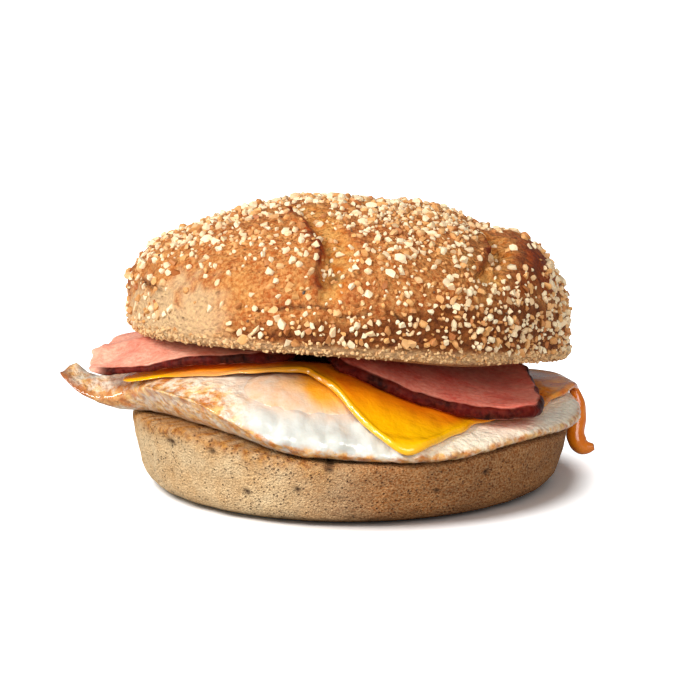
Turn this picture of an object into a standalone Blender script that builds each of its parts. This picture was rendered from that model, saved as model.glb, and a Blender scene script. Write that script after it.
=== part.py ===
"""Breakfast sandwich: a grain-topped roll cut in two, with a fried egg and its yolk, a melted
cheese slice laid cornerwise and two slices of smoked ham between the halves.

Metres, +Z up, -Y is the side that shows the filling. The origin is the middle of the flat
that the roll stands on.
"""

import math
import random

import bmesh
import bpy
from mathutils import Euler, Matrix, Vector, noise
from mathutils.bvhtree import BVHTree

GAP = 0.0005                      # clearance between pieces that rest on each other
MERGE = 0.00001                   # points this close become one

# Bottom half of the roll: its cut slopes down to the right and swells at the front
BASE_RADIUS = 0.0531
FOOT_RADIUS = 0.0455
BASE_HEIGHT = 0.0155
BASE_FALL = 0.0450
SWELL_WIDTH = 0.021
SWELLS = (((-0.037, -0.033), 0.0024), ((0.043, -0.030), 0.0022))
BASE_ROUND_OFF = ((2.0, 0.5, 0.006), (3.0, 0.0, 0.004))  # waves: how often, offset, share
BASE_SEGMENTS = 40

# Top half of the roll: it leans back and down to the right on the filling
CROWN_RADIUS = 0.0540
CROWN_HEIGHT = 0.0355
CROWN_SHIFT = -0.0009
CROWN_SAG = 0.0011                # how far the rim hangs lower at the front right
CROWN_SAG_ANGLE = 302.0
CROWN_SAG_WIDTH = 18.0
CROWN_BELLY = 0.0070              # height of the widest ring above the cut
CROWN_TUCK = 0.0018               # how far the side draws in at the cut
CROWN_SEAT = 0.0335               # height of the cut's middle
CROWN_LEAN_BACK = math.radians(9.3)
CROWN_LEAN_RIGHT = math.radians(3.6)
CROWN_FULLNESS = 0.82             # 1 is an ellipse, less is boxier
CROWN_ROUND_OFF = ((2.0, -0.4, 0.008), (5.0, 0.0, 0.005))
CROWN_FOLDS = (                   # x, width and height of the folds from front to back
    (-0.036, 0.013, -0.0028),
    (0.032, 0.006, -0.0016),
    (0.043, 0.007, 0.0016),
)
CROWN_LUMPS = 0.0009              # height of its random lumps
CROWN_LUMP_SCALE = 55.0
CROWN_SEGMENTS = 54
CROWN_RINGS = 13

# Torn scores in the crust, as (bearing, elevation) in degrees seen from the cut's middle
SCORES = (
    # half width, route
    (0.0030, ((245.0, 47.0), (257.0, 37.0), (265.0, 29.0), (265.0, 21.0))),
    (0.0026, ((336.0, 38.0), (326.0, 32.5), (314.0, 26.0))),
    (0.0030, ((60.0, 58.0), (78.0, 46.0), (92.0, 34.0))),
    (0.0011, ((246.0, 9.2), (254.0, 10.5), (262.0, 11.4), (268.5, 9.2), (279.0, 11.3), (283.0, 8.6))),
)
SCORE_RAISE = 0.0003              # how far the middle of a score lies above the crust

# Filling
EGG_RADIUS = 0.0545
EGG_RIM = 0.0042                  # thickness of the white at its edge
EGG_RIM_THICK = ((186.0, 18.0, 0.0022), (13.0, 21.0, 0.0026))  # bearing, width, how much thicker
EGG_WAVES = ((5.0, 0.6, 0.0006), (9.0, 0.0, 0.0005))
EGG_END_ANGLE = -8.0              # where its edge stands out on the right
EGG_END_WIDTH = 16.0
EGG_END_REACH = 0.0024
EGG_SEGMENTS = 60
MOUND_AT = (-0.012, -0.005)       # middle of the part of the filling that carries the crown
MOUND_INNER = 0.022
MOUND_OUTER = 0.058
LOBE_ANGLE = 180.0                # crisp lobe of white that stands out on the left
LOBE_REACH = 0.0170
LOBE_WIDTH = 9.0
LOBE_START = 0.0560
LOBE_SLOPE = 0.60
LOBE_TIP = 0.0012                 # thickness of the lobe at its tip
LOBE_TAPER = 0.45
LOBE_THIN_FROM = 0.048
LOBE_THIN_AT = 0.060
CURL_LIMITS = (187.0, 206.0, 226.0, 259.0)  # where the edge curls up at the front left
CURL_THICKNESS = 0.0020
CURL_START = 0.0440
CURL_HEIGHT = 0.0075
YOLK_AT = (-0.0100, -0.0370)
YOLK_RADII = (0.0165, 0.0095)
YOLK_DEPTH = 0.0034
YOLK_BULGE = 0.0012
YOLK_OPENING = 0.0030             # how far the hollow's cutter rises above the yolk
YOLK_SEGMENTS = 28

# Cheese
CHEESE_HALF = 0.0430              # half the side of the square slice
CHEESE_TURN = math.radians(15.0)  # direction of its right corner
CHEESE_THICKNESS = 0.0018
CHEESE_BEND = 0.0030              # bend over the edge of the egg
CHEESE_SQUARENESS = 12.0
CHEESE_RECESS = 0.17              # the melted edge draws back beside the yolk
CHEESE_RECESS_ANGLE = 255.0
CHEESE_RECESS_WIDTH = 17.0
CHEESE_SEGMENTS = 48
CHEESE_FLAT_SHARE = 0.70          # share of the slice's rings that lie inside the bend
STRAND_RADIUS = 0.0022
STRAND_POINTS = (                 # the melted corner that hangs on the right
    (0.0546, 0.0146, 0.0200),
    (0.0562, 0.0150, 0.0168),
    (0.0566, 0.0145, 0.0130),
    (0.0562, 0.0137, 0.0100),
    (0.0556, 0.0128, 0.0076),
    (0.0563, 0.0125, 0.0054),
    (0.0582, 0.0122, 0.0040),
    (0.0603, 0.0120, 0.0046),
)
STRAND_WIDTHS = (0.45, 0.75, 0.9, 1.0, 1.1, 1.15, 0.9, 0.35)

# Ham: middle, then half length and bearing of its long axis and of its cross axis, thickness
HAM_SEGMENTS = 32
HAM_SQUARENESS = 5.5
HAM_LEFT = ((-0.0366, -0.0083), (0.0280, -25.0), (0.0180, 77.0), 0.0024)
HAM_RIGHT = ((0.0194, -0.0110), (0.0264, 5.0), (0.0265, 95.0), 0.0030)
HAM_STACK = 0.0030                # the thicker ham, which sets how high the crown sits

# Cracked grain on the crown
GRAIN_COUNT = 122
GRAIN_RADIUS = 0.0015
GRAIN_SIZES = (0.75, 1.15)        # smallest and largest share of the radius
GRAIN_SHAPE = (1.15, 0.80, 0.85)
GRAIN_CRACK = 0.62                # a corner is broken back at most to this share
GRAIN_SINK = 0.35                 # how deep a grain's middle is below the crust, in radii
GRAIN_SPACING = 0.0048
GRAIN_LOW_BIAS = 1.5              # above 1 the side of the dome gets more than the top
GRAIN_TRIES = 20000
GRAIN_SEED = 11


def smooth(low, high, value):
    """0 up to low, 1 from high, and an S curve between them."""
    share = min(max((value - low) / (high - low), 0.0), 1.0)
    return share * share * (3.0 - 2.0 * share)


def hill(distance, width):
    """1 at no distance, falling away over about one width."""
    return math.exp(-((distance / width) ** 2))


def waves(angle, terms):
    """Sum of sine waves round the middle, each as (how often, offset, height)."""
    return sum(height * math.sin(often * angle + offset) for often, offset, height in terms)


def turn_between(angle, centre):
    """The turn from centre to angle, both in degrees, from -180 to 180."""
    return (angle - centre + 180.0) % 360.0 - 180.0


def base_top(x, y):
    """Height of the bottom half's cut face."""
    height = BASE_HEIGHT - BASE_FALL * x
    for (middle_x, middle_y), rise in SWELLS:
        height += rise * hill(math.hypot(x - middle_x, y - middle_y), SWELL_WIDTH)
    return height


def crown_turn():
    """The crown's lean as a rotation."""
    return Euler((-CROWN_LEAN_BACK, CROWN_LEAN_RIGHT, 0.0), "XYZ").to_matrix()


def crown_under(x, y):
    """Height of the crown's cut face."""
    up = crown_turn() @ Vector((0.0, 0.0, 1.0))
    return CROWN_SEAT - (up.x * x + up.y * y) / up.z


def fill_top(x, y):
    """Top of the egg: it follows the crown's cut in the middle, and from there it falls to
    the rim of the bottom half."""
    seat = crown_under(x, y) - 3.0 * GAP - HAM_STACK - CHEESE_THICKNESS
    rim = base_top(x, y) + EGG_RIM
    for bearing, width, thicker in EGG_RIM_THICK:
        from_bearing = turn_between(math.degrees(math.atan2(y, x)), bearing)
        share = smooth(0.0, MOUND_OUTER, math.hypot(x, y))
        rim += thicker * hill(from_bearing, width) * share
    from_middle = math.hypot(x - MOUND_AT[0], y - MOUND_AT[1])
    return rim + (seat - rim) * (1.0 - smooth(MOUND_INNER, MOUND_OUTER, from_middle))


def lobe(angle):
    """1 along the crisp lobe on the left and 0 away from it."""
    return hill(turn_between(math.degrees(angle), LOBE_ANGLE), LOBE_WIDTH)


def egg_reach(angle):
    """Radius of the white's edge: wavy, with the lobe on the left."""
    from_end = turn_between(math.degrees(angle), EGG_END_ANGLE)
    reach = EGG_RADIUS + waves(angle, EGG_WAVES) + LOBE_REACH * lobe(angle)
    return reach + EGG_END_REACH * hill(from_end, EGG_END_WIDTH)


def egg_lower(x, y):
    """Underside of the white: on the roll, curled up at the front left, rising along the lobe."""
    radius = math.hypot(x, y)
    angle = math.atan2(y, x)
    start, full, last, end = CURL_LIMITS
    degrees = math.degrees(angle) % 360.0
    curl = smooth(start, full, degrees) * (1.0 - smooth(last, end, degrees))
    share = min(max((radius - CURL_START) / (EGG_RADIUS - CURL_START), 0.0), 1.0)
    past_rim = max(radius - LOBE_START, 0.0)
    lift = CURL_HEIGHT * curl * share**2 + LOBE_SLOPE * past_rim * lobe(angle)
    return base_top(x, y) + GAP + lift


def white_top(x, y):
    """Top of the white."""
    low = egg_lower(x, y)
    radius = math.hypot(x, y)
    angle = math.atan2(y, x)
    full = max(fill_top(x, y) - low, CURL_THICKNESS)
    taper = LOBE_TIP + LOBE_TAPER * max(egg_reach(angle) - radius, 0.0)
    thin = lobe(angle) * smooth(LOBE_THIN_FROM, LOBE_THIN_AT, radius)
    return low + full + thin * min(taper - full, 0.0)


def bed(x, y):
    """What the cheese lies on: the white, raised a little over and around the yolk."""
    across = (x - YOLK_AT[0]) / YOLK_RADII[0]
    along = (y - YOLK_AT[1]) / YOLK_RADII[1]
    return white_top(x, y) + YOLK_BULGE * (1.0 - smooth(0.7, 1.6, math.hypot(across, along)))


def cheese_bend_start(angle):
    """Radius where the cheese starts to bend over the edge of the egg."""
    return egg_reach(angle) + 2.0 * GAP - CHEESE_BEND


def drape(x, y, lift):
    """A point of a slice that lies on the egg and turns down past its edge."""
    angle = math.atan2(y, x)
    bend_start = cheese_bend_start(angle)
    over = math.hypot(x, y) - bend_start
    if over <= 0.0:
        return Vector((x, y, bed(x, y) + GAP + lift))
    out = Vector((math.cos(angle), math.sin(angle), 0.0))
    turn = min(over / CHEESE_BEND, math.pi / 2.0)
    hanging = over - CHEESE_BEND * turn
    point = out * (bend_start + (CHEESE_BEND + lift) * math.sin(turn))
    crest = bed(out.x * bend_start, out.y * bend_start) + GAP
    point.z = crest - CHEESE_BEND + (CHEESE_BEND + lift) * math.cos(turn) - hanging
    return point


def rounded_square(angle, half_length, half_width, squareness):
    """Radius of a rounded rectangle in a direction."""
    power = abs(math.cos(angle) / half_length) ** squareness
    power += abs(math.sin(angle) / half_width) ** squareness
    return power ** (-1.0 / squareness)


def lens_profile(upper, lower, edge_start):
    """Half section of a flat piece of radius 1, from its top down to its underside, rounded at
    the edge. Heights run from 0 to 1, and upper and lower list the rings by their radius."""

    def bulge(radius):
        past = max(radius - edge_start, 0.0) / (1.0 - edge_start)
        return math.sqrt(1.0 - past**2) / 2.0

    top = [(radius, 0.5 + bulge(radius)) for radius in upper]
    bottom = [(radius, 0.5 - bulge(radius)) for radius in lower]
    return top + [(1.0, 0.5)] + bottom


def spun_mesh(name, profile, segments, place):
    """A closed mesh: a profile of (radius, height) turned about Z, its points moved by place."""
    body = bmesh.new()
    points = [body.verts.new((radius, 0.0, height)) for radius, height in profile]
    edges = [body.edges.new(pair) for pair in zip(points, points[1:])]
    bmesh.ops.spin(
        body, geom=points + edges, cent=(0, 0, 0), axis=(0, 0, 1), dvec=(0, 0, 0),
        angle=math.tau, steps=segments, use_merge=True,
    )
    bmesh.ops.remove_doubles(body, verts=body.verts, dist=MERGE)
    for vert in body.verts:
        vert.co = place(vert.co)
    bmesh.ops.recalc_face_normals(body, faces=body.faces)
    bmesh.ops.triangulate(body, faces=body.faces)
    mesh = bpy.data.meshes.new(name)
    body.to_mesh(mesh)
    body.free()
    return mesh


def material(name, colour, roughness):
    """A plain surface of one colour."""
    made = bpy.data.materials.new(name)
    made.use_nodes = True
    shader = made.node_tree.nodes["Principled BSDF"]
    shader.inputs["Base Color"].default_value = (*colour, 1.0)
    shader.inputs["Roughness"].default_value = roughness
    shader.inputs["Metallic"].default_value = 0.0
    return made


def add_object(name, mesh, collection, surface):
    """Puts a mesh in the scene as one named piece."""
    piece = bpy.data.objects.new(name, mesh)
    collection.objects.link(piece)
    mesh.materials.append(surface)
    return piece


def apply_boolean(piece, operation, others):
    """Joins or cuts piece with all objects of a collection at once, and removes them."""
    change = piece.modifiers.new("change", "BOOLEAN")
    change.operation = operation
    change.solver = "EXACT"
    change.operand_type = "COLLECTION"
    change.collection = others
    graph = bpy.context.evaluated_depsgraph_get()
    changed = bpy.data.meshes.new_from_object(piece.evaluated_get(graph))
    piece.modifiers.remove(change)
    piece.data = changed
    for other in list(others.objects):
        bpy.data.objects.remove(other)
    bpy.data.collections.remove(others)


def new_collection(name):
    """A collection of its own in the scene."""
    made = bpy.data.collections.new(name)
    bpy.context.scene.collection.children.link(made)
    return made


def make_base(collection):
    """Bottom half: turned, a little out of round, with a swelling side and a flat foot."""
    profile = [(share, 1.0) for share in (0.0, 0.25, 0.45, 0.62, 0.77, 0.89, 0.965)]
    profile += [(0.990, 0.975), (1.0, 0.90), (0.990, 0.70), (0.972, 0.45), (0.953, 0.22)]
    profile += [(0.915, 0.07), (0.865, 0.012), (FOOT_RADIUS / BASE_RADIUS, 0.0), (0.0, 0.0)]

    def place(point):
        angle = math.atan2(point.y, point.x)
        round_off = 1.0 + waves(angle, BASE_ROUND_OFF)
        x = point.x * BASE_RADIUS * round_off
        y = point.y * BASE_RADIUS * round_off
        return Vector((x, y, point.z * base_top(x, y)))

    mesh = spun_mesh("roll_base", profile, BASE_SEGMENTS, place)
    surface = material("bread_side", (0.50, 0.30, 0.13), 0.85)
    return add_object("roll_base", mesh, collection, surface)


def yolk_mesh(clearance, lid):
    """The yolk as a lens. The hollow for it is the same lens with a clearance all round and a
    lid that rises above the white."""
    profile = lens_profile((0.0, 0.45, 0.75, 0.93), (0.93, 0.75, 0.45, 0.0), 0.0)
    outline = [radius + clearance for radius in YOLK_RADII]

    def place(point):
        x = YOLK_AT[0] + point.x * outline[0]
        y = YOLK_AT[1] + point.y * outline[1]
        middle = white_top(x, y)
        if point.z >= 0.5:
            return Vector((x, y, middle + (point.z - 0.5) * 2.0 * (YOLK_BULGE + lid)))
        return Vector((x, y, middle - (0.5 - point.z) * 2.0 * (YOLK_DEPTH + clearance)))

    return spun_mesh("egg_yolk", profile, YOLK_SEGMENTS, place)


def make_egg(collection, cutters):
    """Fried egg white: one sheet on the roll, thick under the crown, with the yolk's hollow."""
    profile = lens_profile(
        (0.0, 0.22, 0.38, 0.50, 0.61, 0.71, 0.80, 0.89, 0.965),
        (0.965, 0.89, 0.79, 0.62, 0.40, 0.0), 0.90,
    )

    def place(point):
        angle = math.atan2(point.y, point.x)
        x = point.x * egg_reach(angle)
        y = point.y * egg_reach(angle)
        low = egg_lower(x, y)
        return Vector((x, y, low + point.z * (white_top(x, y) - low)))

    surface = material("egg_white", (0.90, 0.86, 0.76), 0.30)
    mesh = spun_mesh("egg_white", profile, EGG_SEGMENTS, place)
    egg = add_object("egg_white", mesh, collection, surface)
    add_object("yolk_hollow", yolk_mesh(GAP, YOLK_OPENING), cutters, surface)
    apply_boolean(egg, "DIFFERENCE", cutters)
    return egg


def make_yolk(collection):
    """Yolk: a lens in the hollow of the white, bulging a little above it."""
    surface = material("egg_yolk", (0.90, 0.48, 0.04), 0.25)
    return add_object("egg_yolk", yolk_mesh(0.0, 0.0), collection, surface)


def strand_mesh():
    """The hanging melted corner as a closed tapered tube."""
    curve = bpy.data.curves.new("cheese_strand", "CURVE")
    curve.dimensions = "3D"
    curve.bevel_depth = STRAND_RADIUS
    curve.bevel_resolution = 2
    curve.resolution_u = 2
    curve.use_fill_caps = True
    spline = curve.splines.new("NURBS")
    spline.points.add(len(STRAND_POINTS) - 1)
    for point, place, width in zip(spline.points, STRAND_POINTS, STRAND_WIDTHS):
        point.co = (*place, 1.0)
        point.radius = width
    spline.order_u = 4
    spline.use_endpoint_u = True
    return tube_mesh("cheese_strand", curve)


def tube_mesh(name, curve):
    """A curve's closed tube as a mesh."""
    guide = bpy.data.objects.new(name, curve)
    bpy.context.scene.collection.objects.link(guide)
    graph = bpy.context.evaluated_depsgraph_get()
    mesh = bpy.data.meshes.new_from_object(guide.evaluated_get(graph))
    bpy.data.objects.remove(guide)
    body = bmesh.new()
    body.from_mesh(mesh)
    bmesh.ops.remove_doubles(body, verts=body.verts, dist=MERGE)
    bmesh.ops.recalc_face_normals(body, faces=body.faces)
    bmesh.ops.triangulate(body, faces=body.faces)
    body.to_mesh(mesh)
    body.free()
    return mesh


def make_cheese(collection):
    """Melted cheese slice: square, laid cornerwise, its right corner hanging in a strand."""
    profile = lens_profile(
        (0.0, 0.20, 0.34, 0.44, 0.53, 0.61, 0.70, 0.77, 0.84, 0.92, 0.985),
        (0.985, 0.92, 0.84, 0.77, 0.70, 0.61, 0.53, 0.44, 0.34, 0.20, 0.0), 0.97,
    )

    def place(point):
        angle = math.atan2(point.y, point.x)
        share = math.hypot(point.x, point.y)
        quarter = angle - CHEESE_TURN - math.pi / 4.0
        from_recess = turn_between(math.degrees(angle), CHEESE_RECESS_ANGLE)
        edge = rounded_square(quarter, CHEESE_HALF, CHEESE_HALF, CHEESE_SQUARENESS)
        edge *= 1.0 - CHEESE_RECESS * hill(from_recess, CHEESE_RECESS_WIDTH)
        knee = min(cheese_bend_start(angle), 0.85 * edge)
        radius = knee * min(share / CHEESE_FLAT_SHARE, 1.0)
        past = max(share - CHEESE_FLAT_SHARE, 0.0) / (1.0 - CHEESE_FLAT_SHARE)
        radius += (edge - knee) * past
        x = radius * math.cos(angle)
        y = radius * math.sin(angle)
        return drape(x, y, point.z * CHEESE_THICKNESS)

    surface = material("cheese", (0.90, 0.42, 0.02), 0.35)
    mesh = spun_mesh("cheese_slice", profile, CHEESE_SEGMENTS, place)
    cheese = add_object("cheese_slice", mesh, collection, surface)
    strands = new_collection("strands")
    add_object("strand", strand_mesh(), strands, surface)
    apply_boolean(cheese, "UNION", strands)
    return cheese


def make_ham(collection, name, layout, surface):
    """A slice of ham that lies on the cheese and follows it down towards the rim."""
    middle, long_axis, cross_axis, thickness = layout
    profile = lens_profile(
        (0.0, 0.30, 0.52, 0.70, 0.85, 0.985), (0.985, 0.85, 0.70, 0.52, 0.30, 0.0), 0.96
    )

    def place(point):
        square = rounded_square(math.atan2(point.y, point.x), 1.0, 1.0, HAM_SQUARENESS)
        x, y = middle
        for share, (half_length, bearing) in ((point.x, long_axis), (point.y, cross_axis)):
            x += share * square * half_length * math.cos(math.radians(bearing))
            y += share * square * half_length * math.sin(math.radians(bearing))
        under = bed(x, y) + 2.0 * GAP + CHEESE_THICKNESS
        return Vector((x, y, under + point.z * thickness))

    mesh = spun_mesh(name, profile, HAM_SEGMENTS, place)
    return add_object(name, mesh, collection, surface)


def crown_profile():
    """Half section of the crown: dome, widest ring, tucked-in side and flat cut."""
    dome = []
    for step in range(CROWN_RINGS):
        turn = math.pi / 2.0 * step / (CROWN_RINGS - 1)
        radius = CROWN_RADIUS * math.sin(turn) ** CROWN_FULLNESS
        rise = (CROWN_HEIGHT - CROWN_BELLY) * max(math.cos(turn), 0.0) ** CROWN_FULLNESS
        dome.append((radius, CROWN_BELLY + rise))
    side = []
    for share in (0.45, 0.12):
        draw_in = CROWN_TUCK * (1.0 - share) ** 2
        side.append((CROWN_RADIUS - draw_in, CROWN_BELLY * share))
    cut = [(CROWN_RADIUS - 1.8 * CROWN_TUCK, 0.0), (0.82 * CROWN_RADIUS, 0.0), (0.0, 0.0)]
    return dome + side + cut


def crown_place(point):
    """A point of the turned crown, made uneven. The cut stays flat."""
    angle = math.atan2(point.y, point.x)
    round_off = 1.0 + waves(angle, CROWN_ROUND_OFF)
    placed = Vector((point.x * round_off, point.y * round_off, point.z))
    if point.z < MERGE:
        at_rim = smooth(0.85, 0.93, math.hypot(point.x, point.y) / CROWN_RADIUS)
        from_sag = turn_between(math.degrees(angle), CROWN_SAG_ANGLE)
        placed.z -= CROWN_SAG * at_rim * hill(from_sag, CROWN_SAG_WIDTH)
        return placed
    rise = smooth(0.0, 0.5 * CROWN_HEIGHT, point.z)
    for fold_x, width, height in CROWN_FOLDS:
        placed.z += height * rise * hill(point.x - fold_x, width)
    lump = CROWN_LUMPS * noise.noise(point * CROWN_LUMP_SCALE)
    return placed + placed.normalized() * lump


def on_crust(tree, bearing, elevation):
    """Point and outward direction of the crust at a bearing and elevation, in degrees."""
    flat = math.cos(math.radians(elevation))
    along = Vector((
        flat * math.cos(math.radians(bearing)),
        flat * math.sin(math.radians(bearing)),
        math.sin(math.radians(elevation)),
    ))
    hit, normal, _, _ = tree.ray_cast(Vector((0.0, 0.0, 0.001)), along)
    return hit, normal


def score_mesh(tree, radius, route):
    """A spindle along the crust, which tears a score out of it."""
    curve = bpy.data.curves.new("score", "CURVE")
    curve.dimensions = "3D"
    curve.bevel_depth = radius
    curve.bevel_resolution = 1
    curve.use_fill_caps = True
    curve.resolution_u = 2
    spline = curve.splines.new("NURBS")
    spline.points.add(len(route) + 1)
    places = []
    for bearing, elevation in route:
        point, normal = on_crust(tree, bearing, elevation)
        places.append(point + normal * SCORE_RAISE)
    first = places[0] + (places[0] - places[1]) * 0.5
    last = places[-1] + (places[-1] - places[-2]) * 0.5
    widths = [0.3] + [1.0] * len(route) + [0.3]
    for point, place, width in zip(spline.points, [first] + places + [last], widths):
        point.co = (*place, 1.0)
        point.radius = width
    spline.order_u = 3
    spline.use_endpoint_u = True
    return tube_mesh("score", curve)


def grain_places(tree):
    """Seeded places for grain, evenly spread over the crust, as (point, normal)."""
    chance = random.Random(GRAIN_SEED)
    places = []
    tries = 0
    while len(places) < GRAIN_COUNT and tries < GRAIN_TRIES:
        tries += 1
        bearing = chance.uniform(0.0, 360.0)
        elevation = math.degrees(math.asin(chance.uniform(0.01, 0.995) ** GRAIN_LOW_BIAS))
        point, normal = on_crust(tree, bearing, elevation)
        if normal.z < -0.05:
            continue
        if all((point - other).length > GRAIN_SPACING for other, _ in places):
            places.append((point, normal))
    return places


def grain_mesh(chance, point, normal):
    """One cracked grain: an uneven block that sits in the crust."""
    body = bmesh.new()
    bmesh.ops.create_cube(body, size=2.0)
    size = GRAIN_RADIUS * chance.uniform(*GRAIN_SIZES)
    for vert in body.verts:
        broken = Vector([chance.uniform(GRAIN_CRACK, 1.0) for _ in range(3)])
        vert.co = Vector([size * a * b * c for a, b, c in zip(vert.co, broken, GRAIN_SHAPE)])
    spin = Matrix.Rotation(chance.uniform(0.0, math.tau), 4, "Z")
    stand = normal.to_track_quat("Z", "Y").to_matrix().to_4x4()
    middle = point - normal * GRAIN_SINK * size
    body.transform(Matrix.Translation(middle) @ stand @ spin)
    bmesh.ops.triangulate(body, faces=body.faces)
    mesh = bpy.data.meshes.new("grain")
    body.to_mesh(mesh)
    body.free()
    return mesh


def make_crown(collection):
    """Top half: a dome with torn scores, and grain fused to its crust."""
    surface = material("crust", (0.62, 0.33, 0.12), 0.7)
    mesh = spun_mesh("roll_crown", crown_profile(), CROWN_SEGMENTS, crown_place)
    crown = add_object("roll_crown", mesh, collection, surface)
    smooth_crust = crust_tree(crown)
    scores = new_collection("scores")
    for radius, route in SCORES:
        add_object("score", score_mesh(smooth_crust, radius, route), scores, surface)
    apply_boolean(crown, "DIFFERENCE", scores)
    grains = new_collection("grains")
    chance = random.Random(GRAIN_SEED)
    for point, normal in grain_places(crust_tree(crown)):
        add_object("grain", grain_mesh(chance, point, normal), grains, surface)
    apply_boolean(crown, "UNION", grains)
    crown.data.transform(Matrix.Translation((CROWN_SHIFT, 0.0, CROWN_SEAT)) @ crown_turn().to_4x4())
    return crown


def crust_tree(crown):
    """Search tree of the crown's surface."""
    body = bmesh.new()
    body.from_mesh(crown.data)
    tree = BVHTree.FromBMesh(body)
    body.free()
    return tree


def main():
    for old in list(bpy.data.objects):
        bpy.data.objects.remove(old)
    sandwich = new_collection("breakfast_sandwich")
    make_base(sandwich)
    make_egg(sandwich, new_collection("hollows"))
    make_yolk(sandwich)
    make_cheese(sandwich)
    ham_surface = material("ham", (0.72, 0.33, 0.26), 0.4)
    make_ham(sandwich, "ham_slice_left", HAM_LEFT, ham_surface)
    make_ham(sandwich, "ham_slice_right", HAM_RIGHT, ham_surface)
    make_crown(sandwich)
    for piece in sandwich.objects:
        piece.data.shade_smooth()
        piece.data.set_sharp_from_angle(angle=math.radians(50.0))


main()
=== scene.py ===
import math
import random

import bmesh
import bpy
import numpy as np
from mathutils import Euler, Matrix, Vector, noise
from mathutils.bvhtree import BVHTree
from mathutils.kdtree import KDTree


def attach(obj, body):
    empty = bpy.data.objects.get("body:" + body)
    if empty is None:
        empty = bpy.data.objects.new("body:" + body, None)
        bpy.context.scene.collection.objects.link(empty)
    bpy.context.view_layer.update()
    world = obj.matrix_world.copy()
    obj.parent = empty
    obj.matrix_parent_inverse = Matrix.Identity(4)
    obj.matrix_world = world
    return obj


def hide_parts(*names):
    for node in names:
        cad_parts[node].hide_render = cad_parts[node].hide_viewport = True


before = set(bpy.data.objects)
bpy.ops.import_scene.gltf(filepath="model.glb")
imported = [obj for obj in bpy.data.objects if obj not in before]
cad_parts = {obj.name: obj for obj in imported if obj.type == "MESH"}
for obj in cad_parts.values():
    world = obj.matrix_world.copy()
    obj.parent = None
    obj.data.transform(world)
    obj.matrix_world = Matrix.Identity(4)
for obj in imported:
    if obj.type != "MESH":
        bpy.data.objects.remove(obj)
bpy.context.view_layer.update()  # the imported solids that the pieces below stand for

print("solids loaded")

gap = 0.0005  # clearance between pieces that rest on each other
merge = 0.00001  # points this close become one


# Shape helpers

def clamp(value):
    return min(max(value, 0.0), 1.0)


def smooth(low, high, value):  # 0 up to low, 1 from high, an S curve between them
    share = clamp((value - low) / (high - low))
    return share * share * (3.0 - 2.0 * share)


def fade(low, high, value):  # 1 up to low, 0 from high
    return 1.0 - smooth(low, high, value)


def hill(distance, width):  # 1 at no distance, falling away over about one width
    return math.exp(-((distance / width) ** 2))


def waves(angle, terms):  # each wave is how often, offset, height
    return sum(height * math.sin(often * angle + offset) for often, offset, height in terms)


def nearBearing(bearing, centre, width):  # in degrees: 1 at the centre, falling away to both sides
    return hill((bearing - centre + 180.0) % 360.0 - 180.0, width)


def towards(angle, centre, width):  # the same for an angle in radians
    return nearBearing(math.degrees(angle), centre, width)


def fromAxis(point):
    return math.hypot(point.x, point.y)


def angleOf(point):
    return math.atan2(point.y, point.x)


def bearingOf(point):  # degrees, 0 to 360
    return math.degrees(angleOf(point)) % 360.0


def grit(point, scale):  # uneven noise from about -1 to 1
    return noise.noise(point * scale)


def roughness(point, terms):  # each term is scale and height
    return sum(height * grit(point, scale) for scale, height in terms)


def evenLine(points, count):  # a smooth line through the points, with even steps
    steps = np.array(points, float)
    ends = np.vstack([2.0 * steps[0] - steps[1], steps, 2.0 * steps[-1] - steps[-2]])
    fine = []
    for before, start, stop, after in zip(ends, ends[1:], ends[2:], ends[3:]):
        for t in np.linspace(0.0, 1.0, 12, endpoint=False):
            fine.append(0.5 * (2.0 * start + (stop - before) * t
                               + (2.0 * before - 5.0 * start + 4.0 * stop - after) * t**2
                               + (3.0 * start - before - 3.0 * stop + after) * t**3))
    fine = np.array(fine + [steps[-1]])
    along = np.concatenate([[0.0], np.cumsum(np.linalg.norm(np.diff(fine, axis=0), axis=1))])
    wanted = np.linspace(0.0, along[-1], count)
    return np.stack([np.interp(wanted, along, fine[:, i]) for i in range(fine.shape[1])], axis=1)


def meshFrom(body, name):
    mesh = bpy.data.meshes.new(name)
    body.to_mesh(mesh)
    body.free()
    return mesh


def spunMesh(name, profile, segments, place):  # a grid wrapped about Z as the profile says
    body = bmesh.new()
    rings = len(profile) - 1
    bmesh.ops.create_grid(body, x_segments=rings, y_segments=segments, size=0.5)
    for vert in body.verts:
        radius, height = profile[round((vert.co.x + 0.5) * rings)]
        angle = (vert.co.y + 0.5) * math.tau
        vert.co = (radius * math.cos(angle), radius * math.sin(angle), height)
    bmesh.ops.remove_doubles(body, verts=body.verts, dist=merge)
    for vert in body.verts:
        vert.co = place(vert.co)
    bmesh.ops.recalc_face_normals(body, faces=body.faces)
    return meshFrom(body, name)


def lensProfile(upper, lower, edge):  # half section of a flat piece of radius 1, rounded past edge
    def bulge(radius):
        past = max(radius - edge, 0.0) / (1.0 - edge)
        return math.sqrt(max(1.0 - past**2, 0.0)) / 2.0

    rim = [edge + (1.0 - edge) * math.sin(math.pi / 2.0 * step / 5.0) for step in range(1, 5)]
    above = list(np.linspace(0.0, edge, upper)) + rim
    below = rim[::-1] + list(np.linspace(edge, 0.0, lower))
    top = [(radius, 0.5 + bulge(radius)) for radius in above]
    bottom = [(radius, 0.5 - bulge(radius)) for radius in below]
    return top + [(1.0, 0.5)] + bottom


def roundedSquare(angle, halfLength, halfWidth, squareness):  # radius in a direction
    power = abs(math.cos(angle) / halfLength) ** squareness
    power += abs(math.sin(angle) / halfWidth) ** squareness
    return power ** (-1.0 / squareness)


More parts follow.
